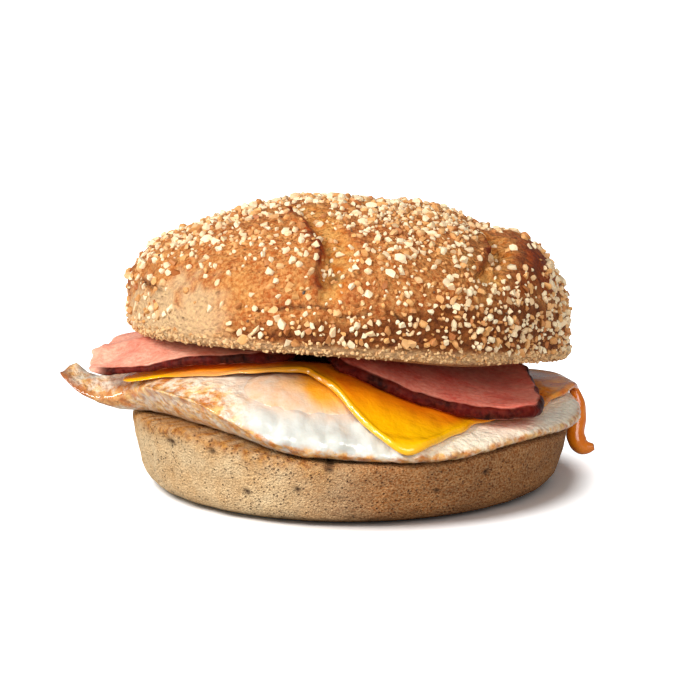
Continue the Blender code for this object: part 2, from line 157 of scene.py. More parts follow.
def applyRelief(mesh, relief, masks):  # moves each point along its normal and stores its masks
    values = []
    moved = []
    for vert in mesh.vertices:
        height, shades = relief(vert.co, vert.normal)
        moved.extend(vert.co + vert.normal * height)
        values.append(shades)
    mesh.vertices.foreach_set("co", moved)
    for index, mask in enumerate(masks):
        layer = mesh.attributes.new(mask, "FLOAT", "POINT")
        layer.data.foreach_set("value", [shades[index] for shades in values])
    mesh.update()


pieces = []


def addObject(name, data):
    made = bpy.data.objects.new(name, data)
    bpy.context.scene.collection.objects.link(made)
    return made


def addPiece(name, mesh, finish, replaced=None):
    piece = addObject(name, mesh)
    mesh.materials.append(finish)
    mesh.shade_smooth()
    pieces.append(piece)
    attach(piece, "root")
    if replaced:
        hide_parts(replaced)
    return piece


# Node helpers and shared effects

def addNode(tree, kind, inputs, **choices):
    made = tree.nodes.new(kind)
    for choice, value in choices.items():
        setattr(made, choice, value)
    for socket, value in inputs.items():
        if isinstance(value, bpy.types.NodeSocket):
            tree.links.new(value, made.inputs[socket])
        else:
            made.inputs[socket].default_value = value
    return made


def paint(red, green, blue):  # a colour as seen on screen, 0 to 255
    channels = [channel / 255.0 for channel in (red, green, blue)]
    linear = [c / 12.92 if c <= 0.04045 else ((c + 0.055) / 1.055) ** 2.4 for c in channels]
    return (*linear, 1.0)


def mix(tree, share, first, second):
    made = addNode(tree, "ShaderNodeMix", {0: share, 6: first, 7: second}, data_type="RGBA")
    return made.outputs[2]


def maskOf(tree, name):
    return addNode(tree, "ShaderNodeAttribute", {}, attribute_name=name).outputs["Fac"]


def cover(tree, mask, under, over):
    return mix(tree, maskOf(tree, mask), under, over)


def ramp(tree, value, low, high):  # 0 at low, 1 at high
    made = addNode(tree, "ShaderNodeMapRange", {"Value": value, "From Min": low, "From Max": high})
    return made.outputs["Result"]


def maths(tree, operation, first, second=0.0, capped=False):
    made = addNode(tree, "ShaderNodeMath", {0: first, 1: second}, operation=operation, use_clamp=capped)
    return made.outputs[0]


def texture(tree, kind, output, **inputs):  # laid in the piece's own space
    where = addNode(tree, "ShaderNodeTexCoord", {}).outputs["Object"]
    return addNode(tree, kind, {"Vector": where, **inputs}).outputs[output]


def dots(tree, scale):
    return texture(tree, "ShaderNodeTexVoronoi", "Distance", Scale=scale)


def fog(tree, scale, **inputs):
    return texture(tree, "ShaderNodeTexNoise", "Fac", Scale=scale, **inputs)


def newGroup(name, inputs, outputs):
    tree = bpy.data.node_groups.new(name, "ShaderNodeTree")
    for socket, kind, value in inputs:
        tree.interface.new_socket(socket, in_out="INPUT", socket_type=kind).default_value = value
    for socket, kind in outputs:
        tree.interface.new_socket(socket, in_out="OUTPUT", socket_type=kind)
    return tree, tree.nodes.new("NodeGroupInput").outputs, tree.nodes.new("NodeGroupOutput").inputs


def smoothMesh(mesh, times):  # evens out creases
    body = bmesh.new()
    body.from_mesh(mesh)
    for _ in range(times):
        bmesh.ops.smooth_vert(body, verts=body.verts, factor=0.5, use_axis_x=True, use_axis_y=True,
                              use_axis_z=True)
    body.to_mesh(mesh)
    body.free()


def makeMottle():  # soft patches between two colours
    tree, given, out = newGroup("mottle", [
        ("Scale", "NodeSocketFloat", 100.0), ("Contrast", "NodeSocketFloat", 0.3),
        ("Low", "NodeSocketColor", (0.5, 0.5, 0.5, 1.0)), ("High", "NodeSocketColor", (1.0, 1.0, 1.0, 1.0)),
    ], [("Color", "NodeSocketColor"), ("Mask", "NodeSocketFloat")])
    cloud = fog(tree, given["Scale"], Detail=5.0, Roughness=0.6)
    start = maths(tree, "SUBTRACT", 0.5, given["Contrast"])
    stop = maths(tree, "ADD", 0.5, given["Contrast"])
    share = ramp(tree, cloud, start, stop)
    tree.links.new(mix(tree, share, given["Low"], given["High"]), out["Color"])
    tree.links.new(share, out["Mask"])
    return tree


def makeCrumb():  # grainy relief with small pores, and a mask of the pores for painted shade inside them
    tree, given, out = newGroup("crumb", [
        ("Scale", "NodeSocketFloat", 1200.0), ("Pores", "NodeSocketFloat", 0.5),
    ], [("Height", "NodeSocketFloat"), ("ShadedPits", "NodeSocketFloat")])
    fine = fog(tree, given["Scale"], Detail=4.0, Roughness=0.65)
    wide = maths(tree, "MULTIPLY", given["Scale"], 0.42)
    cells = dots(tree, wide)
    rare = fog(tree, maths(tree, "MULTIPLY", wide, 0.35))
    pitted = maths(tree, "MULTIPLY", ramp(tree, cells, 0.30, 0.12), ramp(tree, rare, 0.44, 0.56))
    sunk = maths(tree, "MULTIPLY", pitted, given["Pores"])
    knobs = dots(tree, maths(tree, "MULTIPLY", given["Scale"], 0.8))
    rounded = maths(tree, "SUBTRACT", fine, maths(tree, "MULTIPLY", knobs, 0.55))
    tree.links.new(maths(tree, "SUBTRACT", rounded, sunk), out["Height"])
    tree.links.new(pitted, out["ShadedPits"])
    return tree


mottle = makeMottle()
crumb = makeCrumb()


def useGroup(tree, group, inputs):
    return addNode(tree, "ShaderNodeGroup", inputs, node_tree=group).outputs


def clouds(tree, scale, contrast, low, high):  # soft patches between two colours as seen on screen
    return useGroup(tree, mottle, {"Scale": scale, "Contrast": contrast, "Low": paint(*low),
                                   "High": paint(*high)})["Color"]


def layer(tree, under, mask, *patches):  # soft patches over a colour, where the mask says
    return cover(tree, mask, under, clouds(tree, *patches))


def newFinish(name, roughness, specular=0.5, coat=0.0, coatRoughness=0.1, glow=0.0, glowReach=0.0):
    finish = bpy.data.materials.new(name)
    finish.use_nodes = True
    tree = finish.node_tree
    shader = tree.nodes["Principled BSDF"]
    values = {"Roughness": roughness, "Specular IOR Level": specular, "Coat Weight": coat,
              "Coat Roughness": coatRoughness, "Subsurface Weight": glow,
              "Subsurface Radius": (1.0, 0.65, 0.45), "Subsurface Scale": glowReach}
    for socket, value in values.items():
        shader.inputs[socket].default_value = value
    return finish, tree, shader


def dress(tree, shader, colour, height, distance):  # the colour, and the relief in metres
    tree.links.new(colour, shader.inputs["Base Color"])
    made = addNode(tree, "ShaderNodeBump", {"Height": height, "Distance": distance, "Strength": 1.0})
    tree.links.new(made.outputs["Normal"], shader.inputs["Normal"])


# Bottom half of the roll

lowerRoll = {
    "radius": 0.0531,
    "height": 0.0155,
    "fall": 0.0450,  # slope of the cut, down to the right
    "swellWidth": 0.021,
    "swells": (((-0.037, -0.033), 0.0024), ((0.043, -0.030), 0.0022)),
    "roundOff": ((2.0, 0.5, 0.006), (3.0, 0.0, 0.004)),
    "segments": 460,
    "side": ((0.965, 1.0), (0.990, 0.975), (1.0, 0.90), (0.990, 0.70), (0.972, 0.45),
             (0.953, 0.22), (0.915, 0.07), (0.865, 0.012), (0.857, 0.0)),
    "sideRings": 46,
    "lumps": ((160.0, 0.00035), (420.0, 0.00021)),  # scale and height
    "holeDepth": 0.0009,
    "paintedShade": (-0.030, 0.020, 0.012),  # from where to where it darkens along x with painted shade on the right, away from the key light, and how unevenly
    "toast": (0.0026, 0.0012),  # height of the band under the cut, toasted crust with painted shade under the egg's edge, and how unevenly
    "toastEnd": (-0.012, 0.006),
    "holes": ((-0.0049, 0.0150, 0.0011), (-0.0125, 0.0092, 0.0007), (-0.0248, 0.0073, 0.0008),
              (-0.0333, 0.0165, 0.0007), (-0.0436, 0.0160, 0.0008), (0.0210, 0.0080, 0.0006),
              (0.0330, 0.0110, 0.0007)),  # x, height, radius of the larger pores at the front
}


def baseTop(x, y):  # height of the bottom half's cut face
    height = lowerRoll["height"] - lowerRoll["fall"] * x
    for (middleX, middleY), rise in lowerRoll["swells"]:
        height += rise * hill(math.hypot(x - middleX, y - middleY), lowerRoll["swellWidth"])
    return height


def breadFinish():
    finish, tree, shader = newFinish("floury_bread", 0.85, specular=0.25)
    pale = clouds(tree, 130.0, 0.16, (230, 186, 130), (250, 222, 174))
    # painted shade: the right side is painted darker brown for the shade away from the key light
    colour = layer(tree, pale, "paintedShade", 110.0, 0.16, (136, 70, 18), (178, 106, 42))
    specks = clouds(tree, 1900.0, 0.11, (146, 84, 34), (252, 212, 156))
    colour = mix(tree, 0.34, colour, specks)
    # toasted crust and painted shade: the band under the cut is darker where the egg's edge overhangs it
    colour = layer(tree, colour, "toasted", 900.0, 0.10, (216, 150, 70), (158, 88, 28))
    crumbly = useGroup(tree, crumb, {"Scale": 2200.0, "Pores": 1.6})
    # painted shade: the pores are painted dark for the shade inside them
    colour = mix(tree, maths(tree, "MULTIPLY", crumbly["ShadedPits"], 0.7), colour, paint(100, 48, 16))
    # painted shade: the larger pores are painted near black for the shade inside them
    colour = cover(tree, "shadedHole", colour, paint(48, 24, 14))
    dress(tree, shader, colour, crumbly["Height"], 0.0012)
    return finish


def makeLowerRoll():
    side = evenLine(lowerRoll["side"], lowerRoll["sideRings"])
    profile = [(share, 1.0) for share in np.linspace(0.0, 0.95, 16)] + [tuple(p) for p in side]
    profile += [(0.5, 0.0), (0.0, 0.0)]

    def place(point):
        angle = angleOf(point)
        roundOff = 1.0 + waves(angle, lowerRoll["roundOff"])
        x = point.x * lowerRoll["radius"] * roundOff
        y = point.y * lowerRoll["radius"] * roundOff
        return Vector((x, y, point.z * baseTop(x, y)))

    def relief(point, normal):
        foot = smooth(0.0, 0.002, point.z)
        rough = roughness(point, lowerRoll["lumps"]) * foot
        # the larger pores at the front are sunk, and the same mask paints shade into them
        shadedHole = 0.0
        if point.y < 0.0:
            for x, z, radius in lowerRoll["holes"]:
                shadedHole = max(shadedHole, hill(math.hypot(point.x - x, point.z - z), radius))
        # painted shade: darker towards the right, where the key light does not reach
        start, stop, uneven = lowerRoll["paintedShade"]
        paintedShade = smooth(start, stop, point.x + uneven * grit(point, 60.0))
        below = baseTop(point.x, point.y) - point.z  # how far under the cut
        # the band is toasted crust and painted shade under the egg's edge
        band, uneven = lowerRoll["toast"]
        toasted = hill(below, band + uneven * grit(point, 200.0)) * (0.7 + 0.8 * grit(point, 500.0))
        toasted *= fade(*lowerRoll["toastEnd"], point.x)
        return rough - lowerRoll["holeDepth"] * shadedHole, (shadedHole, paintedShade, clamp(toasted))

    mesh = spunMesh("roll_base_bread", profile, lowerRoll["segments"], place)
    applyRelief(mesh, relief, ["shadedHole", "paintedShade", "toasted"])
    addPiece("roll_base_bread", mesh, breadFinish(), "roll_base")


makeLowerRoll()
print("bottom half made")


# Top half of the roll: it leans back and down to the right on the filling

upperRoll = {
    "radius": 0.0540,
    "height": 0.0355,
    "shift": -0.0009,
    "sag": (0.0011, 302.0, 18.0),  # how far the rim hangs lower, where, how wide
    "belly": 0.0070,  # height of the widest ring above the cut
    "tuck": 0.0018,  # how far the side draws in at the cut
    "side": ((0.1, 0.6), (0.4, 0.32), (1.0, 0.10)),  # share of the tuck, share of the belly's height
    "seat": 0.0335,  # height of the cut's middle
    "leanBack": 9.3,
    "leanRight": 3.6,
    "fullness": 0.82,
    "roundOff": ((2.0, -0.4, 0.008), (5.0, 0.0, 0.005)),
    "flare": (0.0022, 350.0, 34.0),  # how far the rim stands out, where, how wide
    "creviceShade": (264.8, 19.5),
    "folds": ((-0.036, 0.013, -0.0028), (0.032, 0.006, -0.0016), (0.043, 0.007, 0.0016)),
    "lumps": ((55.0, 0.0009),),  # scale and height
    "fineLumps": ((170.0, 0.00055), (420.0, 0.00034), (900.0, 0.00014)),
    "rimLumps": ((700.0, 0.00045), (330.0, 0.00035)),
    "ragged": ((85.0, 0.0045), (300.0, 0.003)),  # how far the edges between colours wander
    "frontHalf": (-0.010, 0.010),
    "wideScore": (0.0012, 0.003),  # gentle sides that make a hairline crack, and a torn score
    "lip": 0.0007,  # how far the steep side of a score stands up
    "crackWidth": 0.0005,
    "pitShadeWidth": 0.0018,  # width of the painted shade in the pit of the first score
    "flouryLeft": ((-0.036, -0.027), (0.0435, 0.0480)),  # where the floury left side ends across, and up
    "shoulder": ((0.034, 0.045), (0.012, 0.020)),  # where the toasted right side starts across, and up
    "bakedTop": (0.018, 0.034, 0.55),  # height over which it gets more toasted, and how much
    "rimEnd": (0.0016, 0.0036),  # height over which the torn rim ends
    "scoreEnd": (0.024, 0.031),  # height over which the scores get shallower
    "scoreEdges": ((230.0, 0.4), (620.0, 0.25)),
    "patches": ((130.0, 0.9), (420.0, 0.5)),
    "plug": (-0.009, 0.014, 0.009, 0.0045),  # crumb that sinks in between the hams: place, width, depth
    "burnt": (Vector((-0.0525, -0.002, 0.0128)), 0.0032, 0.0012),  # place, width, height
    "browned": (-0.034, -0.022, 0.0365),  # the low band of painted shade between the piled grains: where it starts across, and how high it reaches
    "segments": 520,
    "domeRings": 172,
}
scores = (  # steep side, gentle side, depth, route as bearing and elevation
    (0.0022, 0.0075, 0.0036, ((238.0, 50.0), (246.0, 47.0), (255.0, 39.0), (261.0, 31.5), (262.5, 26.0),
                              (262.0, 19.0))),
    (0.0016, 0.0060, 0.0036, ((337.0, 39.5), (328.0, 33.5), (319.0, 28.0), (311.0, 24.0))),
    (0.0016, 0.0055, 0.0024, ((60.0, 58.0), (78.0, 46.0), (92.0, 34.0))),
    (0.0007, 0.0009, 0.0009, ((246.0, 9.2), (254.0, 10.5), (262.0, 11.4), (268.5, 9.2), (279.0, 11.3),
                              (283.0, 8.6))),
    (0.0006, 0.0009, 0.0009, ((188.0, 13.6), (201.0, 12.7), (211.0, 11.6), (219.0, 12.6))),
)


def crownTurn():
    turn = Euler((-math.radians(upperRoll["leanBack"]), math.radians(upperRoll["leanRight"]), 0.0), "XYZ")
    return turn.to_matrix()


viewTilt = (0.974, 0.225)  # cosine and sine of the 13 degrees that the photo looks down by
crownUp = crownTurn() @ Vector((0.0, 0.0, 1.0))
crownSeat = Matrix.Translation((upperRoll["shift"], 0.0, upperRoll["seat"])) @ crownTurn().to_4x4()


def crownUnder(x, y):  # height of the crown's cut face
    return upperRoll["seat"] - (crownUp.x * x + crownUp.y * y) / crownUp.z


def crownProfile(rings):
    radius, belly, tuck = upperRoll["radius"], upperRoll["belly"], upperRoll["tuck"]
    dome = []
    for turn in np.linspace(0.0, math.pi / 2.0, 60):
        across = radius * math.sin(turn) ** upperRoll["fullness"]
        rise = (upperRoll["height"] - belly) * max(math.cos(turn), 0.0) ** upperRoll["fullness"]
        dome.append((across, belly + rise))
    side = [(radius - tuck * inwards, belly * up) for inwards, up in upperRoll["side"]]
    side += [(radius - 1.4 * tuck, 0.0004), (radius - 1.9 * tuck, 0.0)]
    line = evenLine(dome + side, rings)
    return [tuple(p) for p in line] + [(share * radius, 0.0) for share in np.linspace(0.92, 0.0, 16)]


def crownPlace(point):
    angle = angleOf(point)
    roundOff = 1.0 + waves(angle, upperRoll["roundOff"])
    placed = Vector((point.x * roundOff, point.y * roundOff, point.z))
    sag, sagAngle, sagWidth = upperRoll["sag"]
    share = fromAxis(point) / upperRoll["radius"]
    atRim = smooth(0.85, 0.93, share)
    atCut = fade(0.0, 0.004, point.z)
    placed.z -= sag * atRim * atCut * towards(angle, sagAngle, sagWidth)
    flare, flareAngle, flareWidth = upperRoll["flare"]
    flare *= towards(angle, flareAngle, flareWidth)
    placed.x += flare * fade(0.0, 0.006, point.z) * share
    rise = smooth(0.0, 0.5 * upperRoll["height"], point.z)
    for foldX, width, height in upperRoll["folds"]:
        placed.z += height * rise * hill(point.x - foldX, width)
    uneven = roughness(point, upperRoll["lumps"])
    return placed + placed.normalized() * uneven * smooth(0.0, 0.002, point.z)


def frontView(point):  # across and up, as a point of the crown shows from the front, and 1 at the front
    seen = crownSeat @ point
    upright, level = viewTilt
    return seen.x, upright * seen.z + level * seen.y, fade(*upperRoll["frontHalf"], seen.y)


def treeOf(mesh):
    body = bmesh.new()
    body.from_mesh(mesh)
    tree = BVHTree.FromBMesh(body)
    body.free()
    return tree


def onCrust(tree, bearing, elevation):
    flat = math.cos(math.radians(elevation))
    along = Vector((flat * math.cos(math.radians(bearing)), flat * math.sin(math.radians(bearing)),
                    math.sin(math.radians(elevation))))
    hit, normal, _, _ = tree.ray_cast(Vector((0.0, 0.0, 0.001)), along)
    return hit, normal


def scorePaths(tree):  # points along each score, and the way to its gentle side
    paths = []
    for steep, gentle, depth, route in scores:
        hits = [onCrust(tree, bearing, elevation) for bearing, elevation in evenLine(route, 40)]
        points = np.array([hit for hit, normal in hits])
        ways = np.gradient(points, axis=0)
        aside = np.cross(np.array([normal for hit, normal in hits]), ways)
        finder = KDTree(len(points))
        for index, point in enumerate(points):
            finder.insert(point, index)
        finder.balance()
        paths.append((steep, gentle, depth, finder, [Vector(way) for way in aside]))
    return paths


def scoreOffset(point, path):  # distance to the score, below 0 on its steep side
    nearest, index, distance = path[3].find(point)
    return distance if (point - nearest).dot(path[4][index]) > 0.0 else -distance


def crustFinish():
    finish, tree, shader = newFinish("baked_crust", 0.62, specular=0.2)
    warm = clouds(tree, 75.0, 0.16, (190, 90, 24), (230, 150, 70))
    spots = clouds(tree, 1000.0, 0.12, (158, 72, 22), (238, 182, 112))
    colour = mix(tree, 0.5, warm, spots)
    flour = mix(tree, 0.3, paint(232, 198, 150), spots)
    colour = cover(tree, "floury", colour, flour)
    colour = layer(tree, colour, "toasted", 300.0, 0.12, (178, 72, 16), (108, 28, 4))
    colour = layer(tree, colour, "torn", 380.0, 0.13, (206, 112, 30), (238, 178, 98))
    crumbly = useGroup(tree, crumb, {"Scale": 1100.0, "Pores": 0.35})
    # painted shade: the pores are painted dark for the shade inside them
    colour = mix(tree, maths(tree, "MULTIPLY", crumbly["ShadedPits"], 0.35), colour, paint(120, 58, 24))
    # painted shade: a darker low band at the front between the piled grains, and a darker lower right side
    # away from the key light
    colour = layer(tree, colour, "paintedShade", 500.0, 0.14, (90, 38, 8), (150, 80, 28))
    # painted shade: the hairline cracks and the pit of the first score are painted dark for the shade
    # inside them
    colour = cover(tree, "creviceShade", colour, paint(64, 28, 12))
    dress(tree, shader, colour, crumbly["Height"], 0.0015)
    return finish


def makeCrown():
    mesh = spunMesh("roll_crown_crust", crownProfile(upperRoll["domeRings"]), upperRoll["segments"],
                    crownPlace)
    tree = treeOf(mesh)
    paths = scorePaths(tree)
    creviceAt = onCrust(tree, *upperRoll["creviceShade"])[0]

    def relief(point, normal):
        bearing = bearingOf(point)
        onTop = smooth(0.0, 0.0016, point.z) if normal.z > -0.5 else 0.0
        height = roughness(point, upperRoll["fineLumps"]) * onTop
        torn = toasted = creviceShade = 0.0
        rough = 1.0 + roughness(point, upperRoll["scoreEdges"])
        for path in paths:
            steep, gentle, depth = path[:3]
            offset = scoreOffset(point, path)
            t = offset / (gentle * rough) if offset > 0.0 else -offset / (steep * rough)
            if t > 2.5:
                continue
            wide = smooth(*upperRoll["wideScore"], gentle)
            depth *= 1.0 - 0.6 * smooth(*upperRoll["scoreEnd"], point.z)
            broken = smooth(-0.35, 0.1, grit(point, 150.0) + 0.4 * wide)
            if offset > 0.0:
                slope = max(1.0 - t, 0.0) ** (1.3 if wide > 0.5 else 1.0)
                height -= depth * slope * broken * (1.0 + 0.35 * grit(point, 480.0))
                height += 0.0006 * grit(point, 620.0) * wide * fade(0.7, 1.0, t)
                torn = max(torn, wide * fade(0.45, 1.05, t) * (0.85 + 0.5 * grit(point, 350.0)))
                toasted = max(toasted, 0.30 * hill(t - 1.15, 0.22) * wide)
            else:
                height -= depth * max(1.0 - t, 0.0) ** 0.5 * broken
                height += upperRoll["lip"] * hill(t - 1.3, 0.6) * (0.4 + 0.6 * wide) * onTop
                torn = max(torn, wide * fade(0.3, 0.8, t))
                toasted = max(toasted, hill(t - 1.0, 0.75) * wide * (0.85 + 0.7 * grit(point, 260.0)))
            # painted shade along the hairline crack, and below in the pit, for the shade inside them
            crack = hill(offset, upperRoll["crackWidth"])
            creviceShade = max(creviceShade, crack * broken * 0.9 * (1.0 - wide))
        pitShade = hill((point - creviceAt).length, upperRoll["pitShadeWidth"])
        creviceShade = max(creviceShade, 0.9 * pitShade * torn)
        rim = fade(*upperRoll["rimEnd"], point.z) * (1.0 if normal.z > -0.9 else 0.5)
        height += roughness(point, upperRoll["rimLumps"]) * rim * onTop
        across, up, atFront = frontView(point)
        ragged = roughness(point, upperRoll["ragged"])
        endAcross, endUp = upperRoll["flouryLeft"]
        left = fade(*endAcross, across + ragged) * fade(*endUp, up + ragged)
        floury = max(0.8 * rim, left * nearBearing(bearing, 205.0, 60.0))
        if normal.z < -0.5 and point.z < 0.0004:
            x, y, width, plug = upperRoll["plug"]
            height += plug * hill(math.hypot(point.x - x, point.y - y), width)
        startAcross, startUp = upperRoll["shoulder"]
        shoulder = smooth(*startAcross, point.x) * smooth(*startUp, point.z)
        patchy = 0.5 + roughness(point, upperRoll["patches"])
        low, high, most = upperRoll["bakedTop"]
        bake = smooth(low, high, point.z) * most
        toasted = max(toasted, clamp(max(shoulder * (0.75 + patchy * 0.4), bake * patchy - 0.12)))
        burntAt, width, rise = upperRoll["burnt"]
        burnt = hill((point - burntAt).length, width)
        height += rise * burnt
        # painted shade: a darker low band at the front between the piled grains, and a darker lower right
        # side
        start, full, bandTop = upperRoll["browned"]
        bandTop += 0.005 * smooth(-0.015, 0.040, across)
        shadeBand = smooth(start, full, across + ragged)
        shadeBand *= fade(bandTop - 0.001, bandTop + 0.003, up + 0.5 * ragged)
        paintedShade = max(0.95 * shadeBand * atFront, 0.45 * smooth(-0.004, 0.040, across + 2.0 * ragged)
                      * fade(0.046, 0.060, up))
        paintedShade *= 1.0 - 0.8 * rim
        torn = min(torn, 1.0)
        return height, (torn, floury * (1.0 - 0.8 * toasted), max(toasted, burnt), creviceShade,
                        paintedShade * (1.0 - torn))

    applyRelief(mesh, relief, ["torn", "floury", "toasted", "creviceShade", "paintedShade"])
    crust = treeOf(mesh)
    mesh.transform(crownSeat)
    addPiece("roll_crown_crust", mesh, crustFinish(), "roll_crown")
    return crust, paths


crust, paths = makeCrown()
print("top half made")


# Cracked grain on the crust

grain = {
    "count": 3300,
    "seed": 11,
    "sizes": (0.00045, 0.00130),  # smallest and largest radius
    "sink": -0.15,  # below 0 the middle stands above the crust
    "spacing": 0.66,  # share of the two radii that keeps grains apart
    "shapes": 12,
    "darkShare": 0.006,
    "toastedShare": 0.34,
    "areas": (  # across, up, half width, half height, more or fewer grains
        (0.016, 0.0590, 0.018, 0.008, 0.50), (0.012, 0.0345, 0.048, 0.0045, 1.00),
        (-0.0375, 0.0390, 0.0075, 0.0090, -0.95), (0.034, 0.0460, 0.022, 0.009, 0.30),
        (0.0470, 0.0590, 0.010, 0.008, -1.20), (-0.0220, 0.0460, 0.012, 0.006, -0.20),
        (0.0350, 0.0555, 0.0075, 0.0065, -0.60),
        (0.0280, 0.0660, 0.014, 0.004, -0.50), (-0.0120, 0.0660, 0.012, 0.004, -0.20),
    ),
    "share": 0.30,  # chance of a grain away from the areas, how much it varies, and over what
    "shareUneven": (0.42, 105.0),
    "inScore": (1.2, 0.7, 0.08),  # reach of the barer strip to each side, and the chance in it
    "lowest": 0.0024,
    "mostTries": 40000,
    "cell": 0.003,
    "tilt": 0.35,  # how much the grains lean, in radians
    "toneBias": 2.2,  # more of the paler grains
    "sizeBias": 1.4,  # more of the smaller grains
    "sharpAngle": 40.0,
    "crumbs": 1500,
    "crumbSizes": (0.00026, 0.00064),
    "crumbElevations": (-1.3, 2.8, -0.8),  # lowest, highest, most often
}


def grainShape(chance, points):  # a cracked piece: the hull of a few points on a lump
    body = bmesh.new()
    for _ in range(points):
        along = Vector([chance.gauss(0.0, 1.0) for _ in range(3)]).normalized()
        along *= chance.uniform(0.85, 1.1)
        body.verts.new((along.x * 1.15, along.y * 0.92, along.z))
    bmesh.ops.convex_hull(body, input=body.verts)
    loose = [vert for vert in body.verts if not vert.link_faces]
    bmesh.ops.delete(body, geom=loose, context="VERTS")
    bmesh.ops.recalc_face_normals(body, faces=body.faces)
    body.verts.layers.float.new("tone")
    return meshFrom(body, "grain_shape")


def grainChance(point):  # how likely a grain is here, 0 to 1
    if point.z < grain["lowest"]:
        return 0.0
    steep, gentle, bare = grain["inScore"]
    for path in paths[:3]:
        if -steep * path[0] < scoreOffset(point, path) < gentle * path[1]:
            return bare
    across, up, atFront = frontView(point)
    uneven, scale = grain["shareUneven"]
    share = grain["share"] + uneven * grit(point, scale)
    for middle, high, width, height, amount in grain["areas"]:
        share += amount * atFront * hill((across - middle) / width, 1.0) * hill((up - high) / height, 1.0)
    return min(max(share, 0.02), 1.0)


def grainFinish(name, pale, brown):
    finish, tree, shader = newFinish(name, 0.5, specular=0.4, glow=0.15, glowReach=0.0006)
    veins = clouds(tree, 1100.0, 0.2, (214, 168, 112), pale)
    colour = cover(tree, "tone", mix(tree, 0.75, veins, paint(*pale)), paint(*brown))
    relief = useGroup(tree, crumb, {"Scale": 1800.0, "Pores": 0.2})
    dress(tree, shader, colour, relief["Height"], 0.00012)
    return finish


def makeGrains():
    chance = random.Random(grain["seed"])
    shapes = [grainShape(chance, chance.choice((14, 17, 20))) for _ in range(grain["shapes"])]
    kinds = {"pale": bmesh.new(), "toasted": bmesh.new(), "dark": bmesh.new(), "crumb": bmesh.new()}

    def add(kind, point, normal, size):
        spread = Vector((chance.uniform(0.8, 1.2), chance.uniform(0.75, 1.05), chance.uniform(0.75, 1.05)))
        stand = normal.to_track_quat("Z", "Y").to_matrix().to_4x4()
        turn = Matrix.Rotation(chance.uniform(0.0, math.tau), 4, "Z")
        tip = Matrix.Rotation(chance.gauss(0.0, grain["tilt"]), 4, "X")
        where = Matrix.Translation(point - normal * grain["sink"] * size)
        size3 = Matrix.Diagonal((*(spread * size), 1.0))
        fresh = chance.choice(shapes).copy()
        fresh.transform(crownSeat @ where @ stand @ turn @ tip @ size3)
        tone = chance.random() ** grain["toneBias"]
        fresh.attributes["tone"].data.foreach_set("value", [tone] * len(fresh.vertices))
        kinds[kind].from_mesh(fresh)
        bpy.data.meshes.remove(fresh)

    smallest, largest = grain["sizes"]
    placed = {}  # grains by the cell that they are in
    count = 0
    tries = 0
    while count < grain["count"] and tries < grain["mostTries"]:
        tries += 1
        bearing = chance.uniform(0.0, 360.0)
        elevation = math.degrees(math.asin(chance.uniform(0.02, 0.999)))
        size = smallest + (largest - smallest) * chance.random() ** grain["sizeBias"]
        point, normal = onCrust(crust, bearing, elevation)
        if normal.z < -0.2 or chance.random() > grainChance(point):
            continue
        cell = tuple(int(value // grain["cell"]) for value in point)
        near = [found for dx in (-1, 0, 1) for dy in (-1, 0, 1) for dz in (-1, 0, 1)
                for found in placed.get((cell[0] + dx, cell[1] + dy, cell[2] + dz), ())]
        if any((point - other).length < grain["spacing"] * (size + radius) for other, radius in near):
            continue
        placed.setdefault(cell, []).append((point, size))
        count += 1
        pick = chance.random()
        kind = "pale"
        if pick < grain["darkShare"]:
            kind = "dark"
            size = smallest
        elif pick < grain["toastedShare"]:
            kind = "toasted"
        add(kind, point, normal, size)
    for _ in range(grain["crumbs"]):  # bread crumbs along the torn rim
        point, normal = onCrust(crust, chance.uniform(0.0, 360.0),
                                chance.triangular(*grain["crumbElevations"]))
        add("crumb", point, normal, chance.uniform(*grain["crumbSizes"]))
    finishes = {
        "pale": grainFinish("pale_grain", (240, 220, 182), (216, 160, 98)),
        "toasted": grainFinish("toasted_grain", (216, 156, 90), (168, 96, 42)),
        "dark": grainFinish("dark_fleck", (92, 60, 40), (38, 26, 20)),
        "crumb": grainFinish("rim_crumb", (222, 182, 130), (190, 134, 78)),
    }
    for kind, body in kinds.items():
        name = "grain_" + kind
        piece = addPiece(name, meshFrom(body, name), finishes[kind])
        piece.data.set_sharp_from_angle(angle=math.radians(grain["sharpAngle"]))
    for shape in shapes:
        bpy.data.meshes.remove(shape)
    print("grains placed:", count)


makeGrains()


# Fried egg

